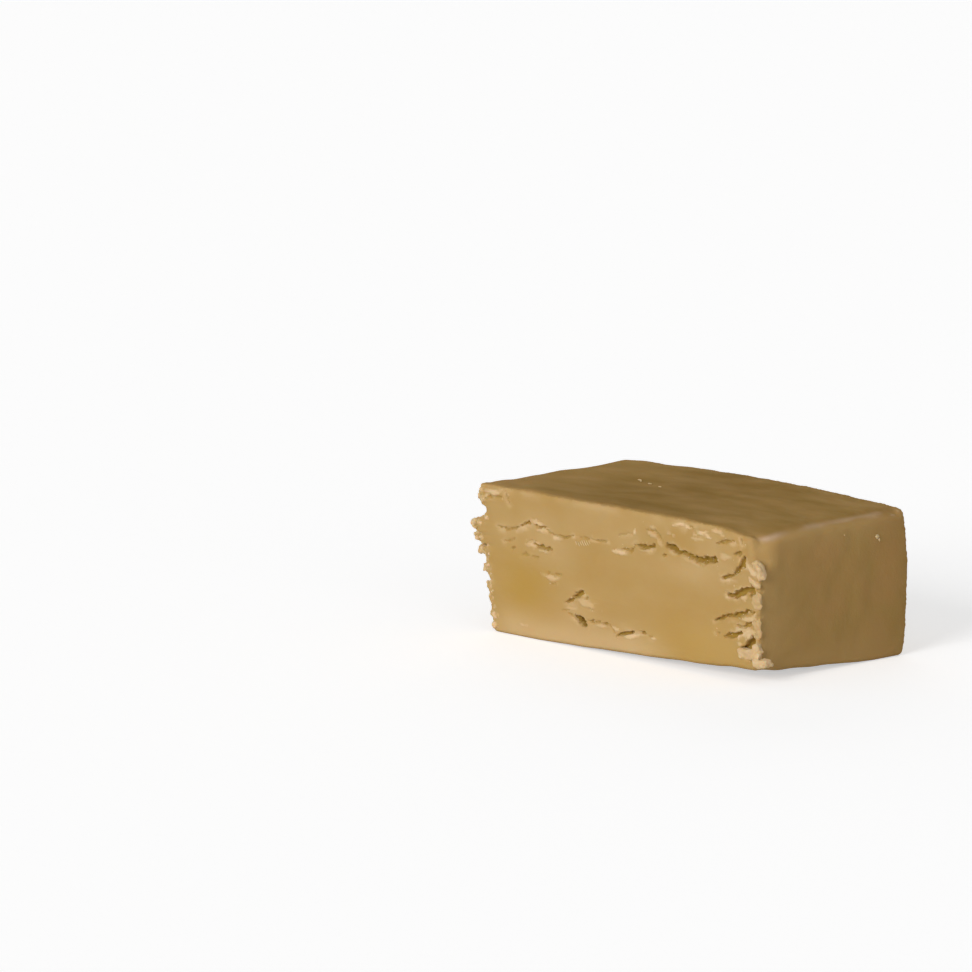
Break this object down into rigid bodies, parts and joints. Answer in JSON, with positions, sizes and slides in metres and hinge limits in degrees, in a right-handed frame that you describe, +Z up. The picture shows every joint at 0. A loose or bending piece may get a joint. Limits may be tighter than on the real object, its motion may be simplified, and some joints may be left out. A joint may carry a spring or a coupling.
{
  "type": "fudge slice",
  "caption": "Thick rectangular slice of smooth fudge with crumbly, torn cut faces, soft skinned ends and a flat base.",
  "frame": {"origin": "middle of the outline's box, on the surface that the slice stands on", "axes": "+X along the cut faces, towards the end that the picture shows; +Y through the slice, away from the torn front cut face; +Z up, through the thickness"},
  "size_m": [0.0786, 0.0426, 0.0302],
  "materials": {
    "fudge": "soft matt fudge: paler and crumbly where it was cut, smooth, browner and slightly waxy on the skin"
  },
  "bodies": {
    "root": {"fudge_slice": "fudge"}
  },
  "joints": []
}
